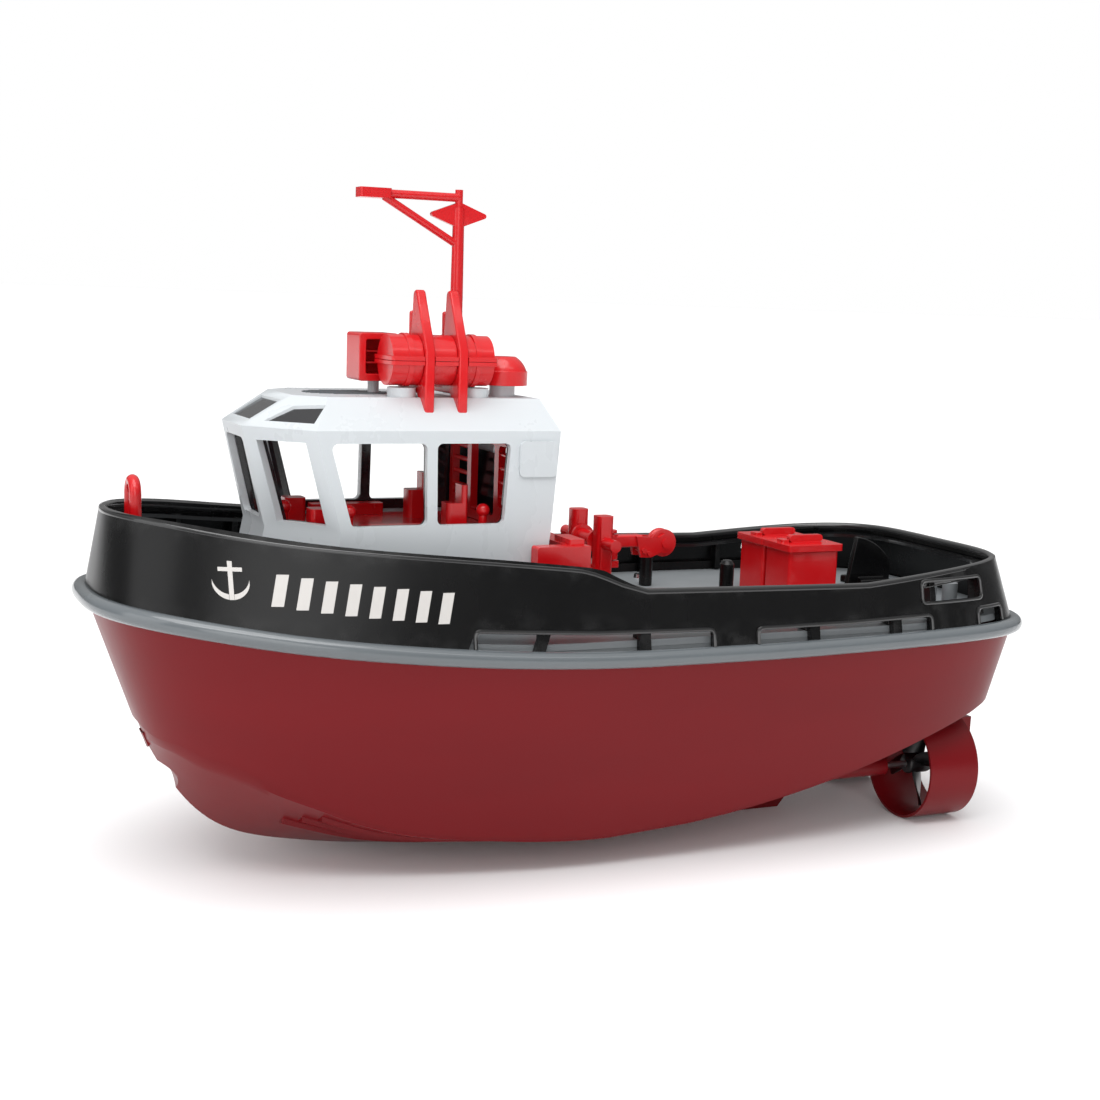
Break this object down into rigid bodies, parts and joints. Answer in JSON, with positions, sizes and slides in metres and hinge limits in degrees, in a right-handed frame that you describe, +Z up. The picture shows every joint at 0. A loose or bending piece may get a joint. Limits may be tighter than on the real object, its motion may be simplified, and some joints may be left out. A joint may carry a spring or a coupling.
{
  "type": "toy tugboat",
  "caption": "Toy harbour tug with twin propellers in nozzles, coupled rudders, lift-off wheelhouse with mast and raft, tow winch drum and swinging tow arm.",
  "frame": {"origin": "centre of the bounding box at the standing surface under keel and nozzles", "axes": "+X aft towards the stern, +Y to starboard, +Z up"},
  "size_m": [0.286, 0.1172, 0.1894],
  "materials": {
    "hull_maroon": "semi-gloss moulded plastic",
    "rail_grey": "satin moulded plastic",
    "deck_grey": "satin moulded plastic",
    "bulwark_black": "gloss moulded plastic",
    "trim_red": "gloss moulded plastic",
    "house_white": "gloss moulded plastic",
    "glazing_dark": "smoked clear plastic",
    "propeller_black": "moulded nylon",
    "steel": "bright steel",
    "fitting_black": "moulded nylon",
    "battery_wrap": "shrink wrap",
    "board_green": "solder mask",
    "ballast_iron": "raw casting"
  },
  "bodies": {
    "hull": {"hull_shell": "hull_maroon", "keel_skeg": "hull_maroon", "rub_rail": "rail_grey", "deck": "deck_grey", "bulwark": "bulwark_black", "deck_screws": "steel", "bow_staple": "trim_red", "winch_base": "trim_red", "towing_posts": "trim_red", "stern_plinth": "deck_grey", "stern_fin": "bulwark_black", "deck_posts": "bulwark_black", "quay_bollards": "deck_grey", "motor_mount": "fitting_black", "steering_servo": "fitting_black", "battery_tray": "fitting_black", "battery_pack": "battery_wrap", "circuit_board": "board_green", "power_switch_body": "fitting_black", "ballast_weight": "ballast_iron", "house_coaming": "deck_grey", "port_aft_box": "trim_red", "starboard_aft_box": "trim_red", "port_aft_box_lid": "trim_red", "starboard_aft_box_lid": "trim_red", "port_stern_tube": "hull_maroon", "starboard_stern_tube": "hull_maroon", "port_nozzle": "hull_maroon", "starboard_nozzle": "hull_maroon", "port_motor": "steel", "starboard_motor": "steel"},
    "wheelhouse": {"wheelhouse_shell": "house_white", "window_liner": "glazing_dark", "roof_windows": "glazing_dark", "cabin_interior": "trim_red", "rear_bulkhead": "trim_red", "life_raft_upper": "trim_red", "life_raft_lower": "trim_red", "raft_cradle": "trim_red", "light_box": "trim_red", "vent_dome": "trim_red", "mast": "trim_red"},
    "winch_drum": {"winch_drum": "trim_red"},
    "tow_arm": {"tow_arm": "trim_red", "sheave_pin": "trim_red", "cheek_pins": "trim_red"},
    "tow_sheave": {"tow_sheave": "trim_red"},
    "power_switch_slider": {"power_switch_slider": "fitting_black"},
    "tie_rod": {"tie_rod": "fitting_black"},
    "port_propeller": {"port_propeller": "propeller_black", "port_drive_shaft": "steel", "port_shaft_coupling": "fitting_black"},
    "port_rudder": {"port_rudder": "hull_maroon", "port_tiller": "fitting_black"},
    "starboard_propeller": {"starboard_propeller": "propeller_black", "starboard_drive_shaft": "steel", "starboard_shaft_coupling": "fitting_black"},
    "starboard_rudder": {"starboard_rudder": "hull_maroon", "starboard_tiller": "fitting_black"}
  },
  "joints": [
    {"name": "port_propeller_spin", "type": "hinge", "parent": "hull", "child": "port_propeller", "pos_m": [0.116, -0.022, 0.017], "axis": [1, 0, 0], "continuous": true},
    {"name": "port_rudder_steer", "type": "hinge", "parent": "hull", "child": "port_rudder", "pos_m": [0.1308, -0.022, 0.03], "axis": [0, 0, 1], "range_deg": [-30, 30]},
    {"name": "starboard_propeller_spin", "type": "hinge", "parent": "hull", "child": "starboard_propeller", "pos_m": [0.116, 0.022, 0.017], "axis": [1, 0, 0], "continuous": true},
    {"name": "starboard_rudder_steer", "type": "hinge", "parent": "hull", "child": "starboard_rudder", "pos_m": [0.1308, 0.022, 0.03], "axis": [0, 0, 1], "range_deg": [-30, 30]},
    {"name": "tie_rod_pivot", "type": "hinge", "parent": "port_rudder", "child": "tie_rod", "pos_m": [0.1208, -0.022, 0.0592], "axis": [0, 0, 1], "range_deg": [-30, 30]},
    {"name": "winch_drum_spin", "type": "hinge", "parent": "hull", "child": "winch_drum", "pos_m": [0.0078, 0, 0.0894], "axis": [0, 1, 0], "continuous": true},
    {"name": "tow_arm_swing", "type": "hinge", "parent": "hull", "child": "tow_arm", "pos_m": [0.0146, 0, 0.087], "axis": [0, 0, 1], "range_deg": [-60, 60]},
    {"name": "tow_sheave_spin", "type": "hinge", "parent": "tow_arm", "child": "tow_sheave", "pos_m": [0.032, 0, 0.0876], "axis": [0, 1, 0], "continuous": true},
    {"name": "wheelhouse_lift", "type": "slide", "parent": "hull", "child": "wheelhouse", "axis": [0, 0, 1], "range_m": [0, 0.06]},
    {"name": "power_switch_slide", "type": "slide", "parent": "hull", "child": "power_switch_slider", "axis": [0, 1, 0], "range_m": [0, 0.0028]}
  ],
  "couplings": [
    {"joint": "starboard_rudder_steer", "follows": "port_rudder_steer", "ratio": 1},
    {"joint": "tie_rod_pivot", "follows": "port_rudder_steer", "ratio": -1}
  ]
}
